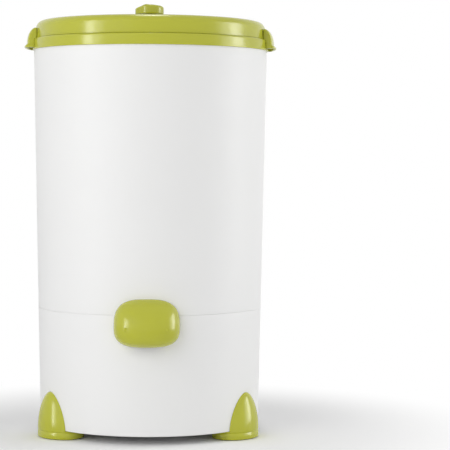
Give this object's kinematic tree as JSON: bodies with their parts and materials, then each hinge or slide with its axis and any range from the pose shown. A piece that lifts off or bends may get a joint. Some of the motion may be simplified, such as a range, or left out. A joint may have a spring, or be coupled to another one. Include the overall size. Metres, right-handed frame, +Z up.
{
  "type": "laundry spin dryer",
  "caption": "Free-standing top-loading spin dryer: tapered white cabinet on green feet, hinged green lid with a rotary lock, side handles, outlet hood and a perforated drum on a motor.",
  "frame": {"origin": "on the floor, on the axis of the drum and of the cabinet", "axes": "+Z up, -Y towards the front with the water outlet, +X to the right of someone facing the front"},
  "size_m": [0.3942, 0.4191, 0.6687],
  "materials": {
    "white_plastic": "satin moulded white",
    "green_plastic": "glossy moulded yellow-green",
    "grey_plastic": "moulded grey",
    "black_plastic": "moulded black",
    "rubber": "matt moulded rubber",
    "steel": "zinc-plated",
    "drum_steel": "rolled stainless sheet",
    "cast_metal": "as cast",
    "laminated_iron": "varnished laminations",
    "friction_pad": "pressed friction compound"
  },
  "bodies": {
    "cabinet": {"base_shell": "white_plastic", "upper_cabinet": "white_plastic", "splash_collar": "white_plastic", "top_ring": "green_plastic", "handle_left": "green_plastic", "handle_right": "green_plastic", "spout_hood": "green_plastic", "foot_left": "green_plastic", "foot_right": "green_plastic", "foot_rear": "green_plastic", "drain_pipe": "grey_plastic", "inner_tub": "grey_plastic", "capacitor": "grey_plastic", "bottom_grille": "black_plastic", "lid_switch": "black_plastic", "cord_gland": "black_plastic", "brake_cable": "black_plastic", "tub_gasket": "rubber", "sole_left": "rubber", "sole_right": "rubber", "sole_rear": "rubber", "motor_mount_1": "rubber", "motor_mount_2": "rubber", "motor_mount_3": "rubber", "shaft_seal": "rubber", "hinge_pin": "steel", "foot_screw_left": "steel", "foot_screw_right": "steel", "foot_screw_rear": "steel", "motor_plate": "steel", "bearing_upper": "steel", "bearing_lower": "steel", "capacitor_clip": "steel", "brake_pivot": "steel", "brake_spring": "steel", "motor_bell_upper": "cast_metal", "motor_bell_lower": "cast_metal", "stator": "laminated_iron"},
    "lid": {"lid_shell": "green_plastic", "lid_liner": "white_plastic", "lid_gasket": "rubber", "lid_screw_1": "steel", "lid_screw_2": "steel", "lid_screw_3": "steel"},
    "knob": {"lock_knob": "green_plastic", "knob_shaft": "steel", "lock_cam": "black_plastic"},
    "bolt": {"latch_bolt": "steel"},
    "plunger": {"switch_plunger": "black_plastic"},
    "brake": {"brake_arm": "steel", "brake_lining": "friction_pad"},
    "spinner": {"drum": "drum_steel", "drum_hub": "cast_metal", "drum_nut": "steel", "drum_shaft": "steel", "rotor": "laminated_iron", "brake_drum": "cast_metal", "cooling_fan": "black_plastic"}
  },
  "joints": [
    {"name": "lid_hinge", "type": "hinge", "parent": "cabinet", "child": "lid", "pos_m": [0, 0.199, 0.618], "axis": [-1, 0, 0], "range_deg": [0, 100]},
    {"name": "knob_turn", "type": "hinge", "parent": "lid", "child": "knob", "pos_m": [0, 0, 0.655], "axis": [0, 0, -1], "range_deg": [0, 90]},
    {"name": "bolt_slide", "type": "slide", "parent": "lid", "child": "bolt", "axis": [0, -1, 0], "range_m": [0, 0.012]},
    {"name": "plunger_slide", "type": "slide", "parent": "cabinet", "child": "plunger", "axis": [0, -1, 0], "range_m": [0, 0.0035]},
    {"name": "brake_release", "type": "hinge", "parent": "cabinet", "child": "brake", "pos_m": [0.042, -0.049, 0.035], "axis": [0, 0, -1], "range_deg": [0, 8]},
    {"name": "drum_spin", "type": "hinge", "parent": "cabinet", "child": "spinner", "pos_m": [0, 0, 0.3], "axis": [0, 0, 1], "continuous": true}
  ],
  "couplings": [
    {"joint": "bolt_slide", "follows": "knob_turn", "m_per_rad": 0.0076394},
    {"joint": "plunger_slide", "follows": "knob_turn", "m_per_rad": 0.0022281},
    {"joint": "brake_release", "follows": "knob_turn", "ratio": 0.08888}
  ]
}
